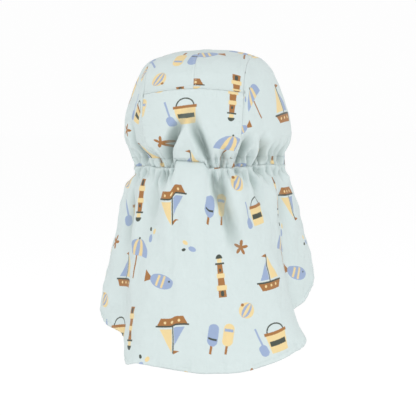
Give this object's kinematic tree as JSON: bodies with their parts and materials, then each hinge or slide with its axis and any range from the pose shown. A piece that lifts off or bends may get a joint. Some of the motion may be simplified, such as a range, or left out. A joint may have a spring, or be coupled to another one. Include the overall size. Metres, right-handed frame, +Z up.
{
  "type": "legionnaire cap",
  "caption": "Small child's soft cloth cap with a gathered elastic back and a long neck flap, in a printed pale mint cloth.",
  "frame": {"origin": "middle of the head opening, level with the seam that joins the neck flap to the elastic casing", "axes": "+Z up through the crown, -Y towards the peak and the wearer's face, +X towards the wearer's left"},
  "size_m": [0.2041, 0.2405, 0.2878],
  "materials": {
    "printed_cloth": "plain weave with a slight sheen, pale mint with a small print of beach things",
    "gathered_casing": "the same cloth, gathered tightly over a narrow elastic"
  },
  "bodies": {
    "root": {"crown_back": "printed_cloth", "crown_front": "printed_cloth", "crown_top_left": "printed_cloth", "crown_top_right": "printed_cloth", "crown_side_left": "printed_cloth", "crown_side_right": "printed_cloth", "elastic_casing": "gathered_casing", "neck_flap": "printed_cloth", "peak": "printed_cloth"}
  },
  "joints": []
}
